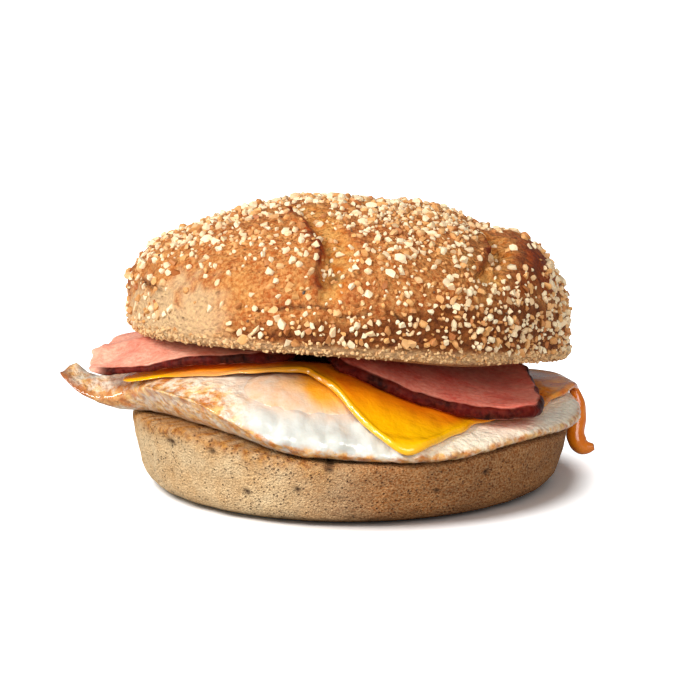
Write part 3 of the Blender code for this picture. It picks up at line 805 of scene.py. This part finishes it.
egg = {
    "radius": 0.0545,
    "rim": 0.0042,  # thickness at the edge
    "rimThick": ((186.0, 18.0, 0.0022), (13.0, 21.0, 0.0026)),  # bearing, width, how much thicker
    "waves": ((5.0, 0.6, 0.0006), (9.0, 0.0, 0.0005)),
    "end": (-8.0, 16.0, 0.0024),  # bearing, width and reach of its right end
    "moundAt": (-0.012, -0.005),
    "mound": (0.022, 0.058),
    "backFill": (0.006, -0.002, 0.016),  # how much wider the mound is at the back, and over what depth
    "lobe": (180.0, 9.0, 0.0170),  # bearing, width and reach
    "lobeStart": 0.0560,
    "lobeRise": 0.0078,
    "lobeTip": 0.0012,
    "lobeTaper": 0.45,
    "lobeThin": (0.048, 0.060),
    "curl": (187.0, 206.0, 226.0, 259.0),
    "curlThickness": 0.0020,
    "curlStart": 0.0440,
    "curlHeight": 0.0075,
    "segments": 420,
    "upperRings": 96,
    "lowerRings": 34,
    "edge": 0.90,
    "tip": (-0.0672, 0.0035, 0.0022, 0.0032),  # the lobe's curled tip: place, width, rise
    "dullEnd": (278.0, 292.0, 25.0, 45.0),  # bearings where the dry right end starts and stops
    "crisp": (165.0, 185.0, 228.0, 248.0),  # bearings of the crisp left edge
    "puffs": (120.0, 0.0009),  # scale and height
    "lumps": (210.0, 0.0015),
    "lumpStart": (0.040, 0.046),
    "crispEdge": (0.0013, 0.0042),  # width of the browned edge, and how much wider at the left
    "scorches": (260.0, 560.0),  # scales of the darker spots on the edge and under it
    "yolkDip": (0.72, 0.90, 0.0010),  # how far in, and how deep, the white sinks under the yolk
}
yolk = {
    "at": (-0.0100, -0.0370),
    "radii": (0.0165, 0.0095),
    "depth": 0.0034,
    "bulge": 0.0012,
    "rimDip": 0.0005,
    "gold": (-0.004, -0.037, 0.012, 0.0095),  # where no white film covers it: place and radii
    "segments": 220,
}
cheese = {
    "half": 0.0430,
    "turn": math.radians(15.0),
    "thickness": 0.0018,
    "bend": 0.0030,
    "squareness": 12.0,
    "recess": (0.17, 255.0, 17.0),  # share, bearing, width
    "flatShare": 0.70,
    "segments": 400,
    "edgeBead": 0.0005,  # the melted edge is a little thicker
    "flatCorner": (0.012, 195.0, 20.0),  # how much later it bends, bearing, width
    "skinAt": (5.0, 26.0),  # bearing and width of the drier skin on the right
    "meltAt": (222.0, 17.0),  # bearing and width of the pale melted edge
    "waves": ((17.0, 0.0, 0.0004), (31.0, 0.0, 0.0003)),
    "thinner": ((215.0, 0.85), (335.0, 0.7)),  # bearing of a thinned edge, and by what share
    "thinnerWidth": 34.0,
    "spread": (0.075, 338.0, 26.0),  # the right edge has run outwards: share, bearing, width
    "strandRadius": 0.0022,
    "strand": ((0.0546, 0.0146, 0.0200), (0.0562, 0.0150, 0.0168), (0.0566, 0.0145, 0.0130),
               (0.0562, 0.0137, 0.0100), (0.0556, 0.0128, 0.0076), (0.0563, 0.0125, 0.0054),
               (0.0582, 0.0122, 0.0040), (0.0603, 0.0120, 0.0046)),
    "strandWidths": (0.45, 0.75, 0.9, 1.0, 1.1, 1.15, 0.9, 0.35),
}
hamStack = 0.0030  # the thicker ham, which sets how high the crown sits


def fillTop(x, y):
    seat = crownUnder(x, y) - 3.0 * gap - hamStack - cheese["thickness"]
    rim = baseTop(x, y) + egg["rim"]
    for bearing, width, thicker in egg["rimThick"]:
        share = smooth(0.0, egg["mound"][1], math.hypot(x, y))
        rim += thicker * towards(math.atan2(y, x), bearing, width) * share
    fromMiddle = math.hypot(x - egg["moundAt"][0], y - egg["moundAt"][1])
    wider, start, stop = egg["backFill"]
    fromMiddle -= wider * smooth(start, stop, y)  # so that no light shows between the hams
    return rim + (seat - rim) * fade(*egg["mound"], fromMiddle)


def lobe(angle):
    return towards(angle, egg["lobe"][0], egg["lobe"][1])


def eggReach(angle):
    bearing, width, reach = egg["end"]
    end = reach * towards(angle, bearing, width)
    return egg["radius"] + waves(angle, egg["waves"]) + end + egg["lobe"][2] * lobe(angle)


def eggLower(x, y):
    radius = math.hypot(x, y)
    angle = math.atan2(y, x)
    start, full, last, end = egg["curl"]
    degrees = math.degrees(angle) % 360.0
    curl = smooth(start, full, degrees) * fade(last, end, degrees)
    share = clamp((radius - egg["curlStart"]) / (egg["radius"] - egg["curlStart"]))
    pastRim = max(radius - egg["lobeStart"], 0.0) / egg["lobe"][2]
    lift = egg["curlHeight"] * curl * share**2 + egg["lobeRise"] * pastRim**1.5 * lobe(angle)
    return baseTop(x, y) + gap + lift


def whiteTop(x, y):
    low = eggLower(x, y)
    radius = math.hypot(x, y)
    angle = math.atan2(y, x)
    full = max(fillTop(x, y) - low, egg["curlThickness"])
    taper = egg["lobeTip"] + egg["lobeTaper"] * max(eggReach(angle) - radius, 0.0)
    thin = lobe(angle) * smooth(*egg["lobeThin"], radius)
    return low + full + thin * min(taper - full, 0.0)


def fromYolk(x, y):  # 1 at the yolk's outline
    across = (x - yolk["at"][0]) / yolk["radii"][0]
    along = (y - yolk["at"][1]) / yolk["radii"][1]
    return math.hypot(across, along)


def bed(x, y):  # what the cheese lies on
    return whiteTop(x, y) + yolk["bulge"] * fade(0.7, 1.6, fromYolk(x, y))


def whiteFinish():
    finish, tree, shader = newFinish("fried_white", 0.30, specular=0.4, coat=0.8, coatRoughness=0.05,
                                     glow=0.15, glowReach=0.002)
    white = clouds(tree, 190.0, 0.2, (190, 189, 178), (208, 208, 200))
    # painted light: the dry right end, the curled left wall and the lobe are painted light cream to lift
    # them out of their shade
    white = cover(tree, "dullAndPaintedLight", white, paint(246, 232, 206))
    colour = layer(tree, white, "film", 260.0, 0.2, (216, 176, 142), (206, 196, 182))
    gold = clouds(tree, 330.0, 0.13, (196, 112, 34), (236, 190, 118))
    patches = useGroup(tree, mottle, {"Scale": 420.0, "Contrast": 0.12})["Mask"]
    browned = maskOf(tree, "browned")
    dullAndPaintedLight = maskOf(tree, "dullAndPaintedLight")
    strength = maths(tree, "ADD", browned, maths(tree, "SUBTRACT", patches, 0.5))
    strength = maths(tree, "MULTIPLY", strength, maths(tree, "MULTIPLY", browned, 2.0, True), True)
    colour = mix(tree, strength, colour, gold)
    colour = cover(tree, "scorched", colour, paint(150, 78, 26))
    relief = useGroup(tree, crumb, {"Scale": 700.0, "Pores": 0.3})
    rougher = maths(tree, "ADD", 0.22, maths(tree, "MULTIPLY", dullAndPaintedLight, 0.45))
    tree.links.new(rougher, shader.inputs["Roughness"])
    share = maths(tree, "ADD", 0.25, maths(tree, "ADD", browned, dullAndPaintedLight))
    dress(tree, shader, colour, maths(tree, "MULTIPLY", relief["Height"], share), 0.0005)
    return finish


def folds(point, scale, height):  # rounded lumps with sharp valleys
    return height * (abs(grit(point, scale)) * 1.6 - 0.4)


def makeWhite():
    def place(point):
        angle = angleOf(point)
        x = point.x * eggReach(angle)
        y = point.y * eggReach(angle)
        tipX, tipY, width, rise = egg["tip"]
        low = eggLower(x, y) + rise * hill(math.hypot(x - tipX, y - tipY), width)
        return Vector((x, y, low + point.z * (whiteTop(x, y) - eggLower(x, y))))

    def relief(point, normal):
        angle = angleOf(point)
        bearing = bearingOf(point)
        fromEdge = eggReach(angle) - fromAxis(point)
        upper = smooth(-0.2, 0.4, normal.z)
        ends = egg["dullEnd"]
        right = smooth(*ends[:2], bearing) if bearing > 90.0 else fade(*ends[2:], bearing)
        left = smooth(*egg["crisp"][:2], bearing) * fade(*egg["crisp"][2:], bearing)
        toYolk = fromYolk(point.x, point.y)
        wet = 1.0 - right
        puffs = folds(point, *egg["puffs"]) * upper
        lumps = folds(point, *egg["lumps"]) * smooth(*egg["lumpStart"], fromAxis(point))
        front = smooth(-0.7, 0.1, normal.z) * (1.0 - left)
        height = wet * front * (puffs + lumps)
        height += wet * 0.0003 * grit(point, 420.0)
        height += (0.3 + 0.7 * right) * 0.00022 * grit(Vector((point.x * 0.5, point.y, point.z)), 900.0)
        height += 0.0003 * grit(point, 380.0) * fade(0.0005, 0.004, fromEdge)
        height *= smooth(0.8, 1.3, toYolk) if toYolk < 1.3 else 1.0
        start, stop, depth = egg["yolkDip"]
        sink = upper * fade(start, stop, toYolk) * depth
        narrow, wider = egg["crispEdge"]
        onEdge, underEdge = (grit(point, scale) for scale in egg["scorches"])
        edge = fade(0.0003, narrow + wider * left, fromEdge + 0.0010 * (1.0 + 2.0 * left) * onEdge)
        faces = normal.z - 0.8 * right  # the right end is browned further up its edge
        under = fade(-0.5, 0.3, faces) * fade(0.001, 0.004, fromEdge)
        wall = 0.55 * left * fade(0.004, 0.012, fromEdge)
        # the dry parts are rougher, and also painted lighter to make up for the shade on them
        dullAndPaintedLight = max(right, 0.8 * left * fade(0.008, 0.016, fromEdge), 0.8 * lobe(angle))
        browned = max(edge * left, wall, 0.95 * under * smooth(0.3, 0.6, 0.75 + 0.5 * grit(point, 420.0)))
        browned = max(browned, 0.45 * lobe(angle) * smooth(0.050, 0.058, fromAxis(point)))
        scorched = smooth(0.25, 0.6, onEdge) * edge * left * 0.7
        scorched = max(scorched, under * smooth(0.2, 0.5, underEdge) * 0.8)
        tip = lobe(angle) * fade(0.0, 0.0035, fromEdge)
        film = fade(0.95, 1.35, toYolk) * upper * (0.75 + 0.5 * grit(point, 150.0))
        masks = min(browned, 1.0), min(max(scorched, tip), 1.0), clamp(film), dullAndPaintedLight
        return height - sink, masks

    profile = lensProfile(egg["upperRings"], egg["lowerRings"], egg["edge"])
    mesh = spunMesh("egg_white_fried", profile, egg["segments"], place)
    applyRelief(mesh, relief, ["browned", "scorched", "film", "dullAndPaintedLight"])
    addPiece("egg_white_fried", mesh, whiteFinish(), "egg_white")


def yolkFinish():
    finish, tree, shader = newFinish("soft_yolk", 0.22, coat=0.5, coatRoughness=0.08, glow=0.3,
                                     glowReach=0.003)
    golden = clouds(tree, 140.0, 0.2, (232, 150, 30), (236, 172, 64))
    skin = clouds(tree, 260.0, 0.2, (218, 170, 130), (210, 194, 172))
    ripple = useGroup(tree, crumb, {"Scale": 380.0, "Pores": 0.0})
    dress(tree, shader, cover(tree, "film", golden, skin), ripple["Height"], 0.0004)
    return finish


def makeYolk():
    profile = lensProfile(46, 20, 0.0)

    def place(point):
        x = yolk["at"][0] + point.x * yolk["radii"][0]
        y = yolk["at"][1] + point.y * yolk["radii"][1]
        middle = whiteTop(x, y)
        if point.z >= 0.5:  # the rim dips under the white
            dip = yolk["rimDip"] * smooth(0.86, 1.0, fromAxis(point))
            return Vector((x, y, middle - dip + (point.z - 0.5) * 2.0 * yolk["bulge"]))
        return Vector((x, y, middle - (0.5 - point.z) * 2.0 * yolk["depth"]))

    def relief(point, normal):
        x, y, half, deep = yolk["gold"]
        fromGold = math.hypot((point.x - x) / half, (point.y - y) / deep)
        film = smooth(0.55, 1.0, fromGold + 0.18 * grit(point, 200.0))
        return 0.00025 * grit(point, 240.0), (film,)

    mesh = spunMesh("egg_yolk_soft", profile, yolk["segments"], place)
    applyRelief(mesh, relief, ["film"])
    addPiece("egg_yolk_soft", mesh, yolkFinish(), "egg_yolk")


makeWhite()
makeYolk()
print("egg made")


# Melted cheese

def bendStart(angle):  # the left corner lies flat on the crisp lobe
    flat, bearing, width = cheese["flatCorner"]
    return eggReach(angle) + 2.0 * gap - cheese["bend"] + flat * towards(angle, bearing, width)


def drape(x, y, lift):
    angle = math.atan2(y, x)
    start = bendStart(angle)
    over = math.hypot(x, y) - start
    if over <= 0.0:
        return Vector((x, y, bed(x, y) + gap + lift))
    bend = cheese["bend"]
    out = Vector((math.cos(angle), math.sin(angle), 0.0))
    turn = min(over / bend, math.pi / 2.0)
    point = out * (start + (bend + lift) * math.sin(turn))
    crest = bed(out.x * start, out.y * start) + gap
    point.z = crest - bend + (bend + lift) * math.cos(turn) - (over - bend * turn)
    return point


def cheeseEdge(angle):
    edge = roundedSquare(angle - cheese["turn"] - math.pi / 4.0, cheese["half"], cheese["half"],
                         cheese["squareness"])
    share, bearing, width = cheese["recess"]
    edge *= 1.0 - share * towards(angle, bearing, width)
    share, bearing, width = cheese["spread"]
    edge *= 1.0 + share * towards(angle, bearing, width)
    return edge + waves(angle, cheese["waves"])


def cheeseFinish():
    finish, tree, shader = newFinish("melted_cheese", 0.24, specular=0.3, coat=0.7, coatRoughness=0.04,
                                     glow=0.10, glowReach=0.002)
    gold = clouds(tree, 120.0, 0.25, (236, 164, 0), (242, 184, 4))
    # painted shade: deeper orange away from the front corner, where the ham and the crown shade the cheese
    colour = layer(tree, gold, "deep", 150.0, 0.25, (206, 92, 4), (222, 122, 8))
    # the drier skin on the right is painted orange-brown, partly its own colour and partly painted shade
    colour = layer(tree, colour, "skin", 300.0, 0.14, (196, 92, 4), (226, 142, 44))
    colour = cover(tree, "melt", colour, paint(232, 160, 84))
    # painted shade: the pores in the skin are painted dark for the shade inside them
    poreShade = maths(tree, "MULTIPLY", ramp(tree, dots(tree, 520.0), 0.22, 0.132), maskOf(tree, "skin"))
    colour = mix(tree, maths(tree, "MULTIPLY", poreShade, 0.7), colour, paint(120, 56, 14))
    ripple = useGroup(tree, crumb, {"Scale": 320.0, "Pores": 0.0})
    dress(tree, shader, colour, ripple["Height"], 0.0004)
    return finish


def makeCheese():
    def place(point):
        angle = angleOf(point)
        share = fromAxis(point)
        edge = cheeseEdge(angle)
        knee = min(bendStart(angle), 0.85 * edge)
        radius = knee * min(share / cheese["flatShare"], 1.0)
        radius += (edge - knee) * max(share - cheese["flatShare"], 0.0) / (1.0 - cheese["flatShare"])
        bead = cheese["edgeBead"] * hill(share - 0.965, 0.03)
        thinner = sum(less * towards(angle, bearing, cheese["thinnerWidth"])
                      for bearing, less in cheese["thinner"])
        thin = 1.0 - thinner * smooth(0.55, 1.0, share)
        lift = point.z * (cheese["thickness"] + bead) * thin
        return drape(radius * math.cos(angle), radius * math.sin(angle), lift)

    def relief(point, normal):
        bearing = bearingOf(point)
        radius = fromAxis(point)
        uneven = grit(point, 150.0)
        # painted shade: deeper orange away from the front corner and the far left, less at the edge
        front = smooth(0.036, 0.050, -point.y) * smooth(0.0, 0.010, point.x + 0.004)
        deep = 1.0 - front
        skin = nearBearing(bearing, *cheese["skinAt"]) * smooth(0.040, 0.050, radius + 0.004 * uneven)
        deep *= 1.0 - 0.8 * smooth(0.042, 0.050, -point.x)
        fromEdge = cheeseEdge(math.radians(bearing)) - radius
        deep *= 0.3 + 0.7 * smooth(0.0008, 0.0045, fromEdge)
        ripple = grit(point, 200.0)
        melt = nearBearing(bearing, *cheese["meltAt"]) * fade(0.0008, 0.0035, fromEdge + 0.002 * ripple)
        melt *= fade(0.038, 0.046, -point.x)
        return 0.00018 * ripple, (clamp(deep + 0.25 * grit(point, 120.0)), skin, melt)

    profile = lensProfile(80, 50, 0.96)
    mesh = spunMesh("cheese_melted", profile, cheese["segments"], place)
    smoothMesh(mesh, 6)
    applyRelief(mesh, relief, ["deep", "skin", "melt"])
    finish = cheeseFinish()
    addPiece("cheese_melted", mesh, finish, "cheese_slice")
    curve = bpy.data.curves.new("cheese_strand", "CURVE")
    curve.dimensions = "3D"
    curve.bevel_depth = cheese["strandRadius"]
    curve.bevel_resolution = 8
    curve.resolution_u = 12
    curve.use_fill_caps = True
    spline = curve.splines.new("NURBS")
    spline.points.add(len(cheese["strand"]) - 1)
    for point, place, width in zip(spline.points, cheese["strand"], cheese["strandWidths"]):
        point.co = (*place, 1.0)
        point.radius = width
    spline.order_u = 4
    spline.use_endpoint_u = True
    guide = addObject("strand_guide", curve)
    strand = bpy.data.meshes.new_from_object(guide.evaluated_get(bpy.context.evaluated_depsgraph_get()))
    bpy.data.objects.remove(guide)

    def strandRelief(point, normal):
        # the hanging strand is painted the deep orange of the shade
        return 0.0003 * grit(point, 300.0), (1.0, 0.15 + 0.5 * grit(point, 300.0), 0.0)

    applyRelief(strand, strandRelief, ["deep", "skin", "melt"])
    addPiece("cheese_strand", strand, finish)


makeCheese()
print("cheese made")


# Ham

hams = {
    "ham_left_smoked": {
        "node": "ham_slice_left", "middle": (-0.0366, -0.0083), "long": (0.0280, -25.0),
        "cross": (0.0180, 77.0), "thickness": 0.0024, "paleness": 1.0, "torn": True,
    },
    "ham_right_smoked": {
        "node": "ham_slice_right", "middle": (0.0194, -0.0110), "long": (0.0264, 5.0),
        "cross": (0.0265, 95.0), "thickness": 0.0030, "paleness": 0.0, "torn": False,
    },
}
hamForm = {
    "squareness": 5.5,
    "waves": ((7.0, 0.4, 0.008), (13.0, 1.0, 0.006), (23.0, 0.0, 0.004)),
    "notches": (0.03, 0.05),  # how far the torn end is set back, and how unevenly
    "turnUp": 0.0036,
    "thinner": 0.5,  # share by which the torn end is thinner
    "ragged": ((210.0, 0.0006), (520.0, 0.0003)),
    "segments": 260,
}


def hamFinish():
    finish, tree, shader = newFinish("smoked_ham", 0.40, specular=0.22, glow=0.15, glowReach=0.0015)
    rosy = clouds(tree, 120.0, 0.16, (236, 92, 76), (252, 150, 126))
    pale = clouds(tree, 120.0, 0.16, (222, 128, 102), (244, 184, 156))
    fibre = clouds(tree, 900.0, 0.14, (200, 80, 62), (252, 190, 164))
    colour = cover(tree, "paleness", rosy, pale)
    colour = mix(tree, 0.28, colour, fibre)
    pepper = clouds(tree, 800.0, 0.08, (30, 8, 4), (84, 36, 22))
    reddish = clouds(tree, 170.0, 0.1, (44, 10, 6), (108, 16, 12))
    rind = mix(tree, 0.5, pepper, reddish)
    colour = cover(tree, "rind", colour, rind)
    sheen = maths(tree, "SUBTRACT", 0.22, maths(tree, "MULTIPLY", maskOf(tree, "rind"), 0.17))
    tree.links.new(sheen, shader.inputs["Specular IOR Level"])
    relief = useGroup(tree, crumb, {"Scale": 800.0, "Pores": 0.2})
    dress(tree, shader, colour, relief["Height"], 0.0003)
    return finish


def makeHam(name, ham, finish):
    profile = lensProfile(44, 24, 0.96)

    def place(point):
        angle = angleOf(point)
        square = roundedSquare(angle, 1.0, 1.0, hamForm["squareness"])
        square *= 1.0 + waves(angle, hamForm["waves"])
        if ham["torn"]:
            away = smooth(0.6, 1.0, -point.x)
            back, uneven = hamForm["notches"]
            square *= 1.0 - away * (back + uneven * grit(Vector((angle * 2.0, 3.0, 0.0)), 4.0))
        x, y = ham["middle"]
        for share, (half, bearing) in ((point.x, ham["long"]), (point.y, ham["cross"])):
            x += share * square * half * math.cos(math.radians(bearing))
            y += share * square * half * math.sin(math.radians(bearing))
        under = bed(x, y) + 2.0 * gap + cheese["thickness"]
        thin = 1.0
        if ham["torn"]:  # the torn end is thinner and stands up towards the crown
            under += hamForm["turnUp"] * smooth(0.034, 0.052, -x) * smooth(-0.022, -0.002, y)
            thin -= hamForm["thinner"] * smooth(-0.2, 0.9, -point.x)
        return Vector((x, y, under + point.z * ham["thickness"] * thin))

    mesh = spunMesh(name, profile, hamForm["segments"], lambda point: point.copy())
    shares = [math.hypot(vert.co.x, vert.co.y) for vert in mesh.vertices]
    ends = [vert.co.x for vert in mesh.vertices]
    for vert in mesh.vertices:
        vert.co = place(vert.co)
    mesh.update()
    index = iter(range(len(shares)))

    def relief(point, normal):
        here = next(index)
        rind = smooth(0.955, 0.975, shares[here] + 0.012 * grit(point, 300.0))
        if ham["torn"]:
            rind *= fade(0.60, 0.72, -ends[here])
        upper = smooth(0.0, 0.5, normal.z)
        ragged = roughness(point, hamForm["ragged"])
        return 0.0002 * grit(point, 160.0) * upper + ragged * rind, (rind, ham["paleness"])

    applyRelief(mesh, relief, ["rind", "paleness"])
    addPiece(name, mesh, finish, ham["node"])


smokedHam = hamFinish()
for name, ham in hams.items():
    makeHam(name, ham, smokedHam)
print("ham made")


# Floor, light and camera

stage = {
    "floorSize": 4.0,
    "floorHeight": -0.0001,
    "floorShown": 1.45,  # how white the floor shows, above 1 so that it is pure white
    "suns": {  # degrees from straight above, bearing, softness, strength
        "soft_key": (55.0, -47.0, 15.0, 2.65),
        "floor_light": (31.0, -99.0, 56.0, 3.6),
    },
    "skyStrength": 0.25,
    "panels": {  # place, width, height, power
        "soft_fill": ((0.28, -0.74, 0.42), 0.5, 0.5, 4.9),
        "side_panel": ((-0.92, -0.30, 0.34), 0.12, 0.5, 5.5),
    },
    "cameraAway": 2.0,
    "sensorWidth": 36.0,
    "elevation": 13.0,
    "aim": (0.0, 0.0, 0.03195),
    "across": 0.700 / 4.08,  # width of the view at the aim, in metres
}


def makeFloor():
    body = bmesh.new()
    bmesh.ops.create_grid(body, x_segments=1, y_segments=1, size=stage["floorSize"])
    floor = addObject("floor", meshFrom(body, "floor"))
    floor.location.z = stage["floorHeight"]
    finish = bpy.data.materials.new("pale_floor")
    finish.use_nodes = True
    tree = finish.node_tree
    tree.nodes.remove(tree.nodes["Principled BSDF"])
    seen = addNode(tree, "ShaderNodeBsdfDiffuse", {"Color": (*[stage["floorShown"]] * 3, 1.0)})
    lit = addNode(tree, "ShaderNodeBsdfDiffuse", {"Color": (0.5, 0.5, 0.5, 1.0)})
    ray = addNode(tree, "ShaderNodeLightPath", {}).outputs["Is Camera Ray"]
    both = addNode(tree, "ShaderNodeMixShader", {0: ray, 1: lit.outputs[0], 2: seen.outputs[0]})
    tree.links.new(both.outputs[0], tree.nodes["Material Output"].inputs["Surface"])
    floor.data.materials.append(finish)
    return floor


def makeLight(floor):
    food = bpy.data.collections.new("lit_food")
    for piece in pieces:
        food.objects.link(piece)
    ground = bpy.data.collections.new("lit_floor")
    ground.objects.link(floor)
    shade = bpy.data.collections.new("floor_shade")  # the bottom half alone keeps the shadow short
    shade.objects.link(pieces[0])
    for name, (tilt, bearing, softness, strength) in stage["suns"].items():
        lamp = bpy.data.lights.new(name, "SUN")
        lamp.energy = strength
        lamp.angle = math.radians(softness)
        sun = addObject(name, lamp)
        sun.rotation_euler = Euler((math.radians(tilt), 0.0, math.radians(bearing)), "XYZ")
        sun.light_linking.receiver_collection = ground if name == "floor_light" else food
        if name == "floor_light":
            sun.light_linking.blocker_collection = shade
    for name, (place, width, height, power) in stage["panels"].items():
        sheet = bpy.data.lights.new(name, "AREA")
        sheet.energy = power
        sheet.shape = "RECTANGLE"
        sheet.size = width
        sheet.size_y = height
        panel = addObject(name, sheet)
        panel.location = place
        panel.rotation_euler = Vector(place).to_track_quat("Z", "Y").to_euler()
        panel.light_linking.receiver_collection = food
    world = bpy.data.worlds.new("pale_sky")
    bpy.context.scene.world = world
    world.use_nodes = True
    tree = world.node_tree
    sky = tree.nodes["Background"]
    sky.inputs["Strength"].default_value = stage["skyStrength"]
    sky.inputs["Color"].default_value = (1.0, 1.0, 1.0, 1.0)
    white = addNode(tree, "ShaderNodeBackground", {"Color": (1.0, 1.0, 1.0, 1.0), "Strength": 1.0})
    ray = addNode(tree, "ShaderNodeLightPath", {}).outputs["Is Camera Ray"]
    both = addNode(tree, "ShaderNodeMixShader", {0: ray, 1: sky.outputs[0], 2: white.outputs[0]})
    tree.links.new(both.outputs[0], tree.nodes["World Output"].inputs["Surface"])


def makeCamera():
    lens = bpy.data.cameras.new("camera")
    lens.sensor_width = stage["sensorWidth"]
    lens.lens = stage["sensorWidth"] * stage["cameraAway"] / stage["across"]
    camera = addObject("camera", lens)
    elevation = math.radians(stage["elevation"])
    back = Vector((0.0, -math.cos(elevation), math.sin(elevation)))
    camera.location = Vector(stage["aim"]) + back * stage["cameraAway"]
    camera.rotation_euler = (-back).to_track_quat("-Z", "Y").to_euler()
    bpy.context.scene.camera = camera


makeLight(makeFloor())
makeCamera()
bpy.context.scene.view_settings.view_transform = "Standard"
print("stage made")
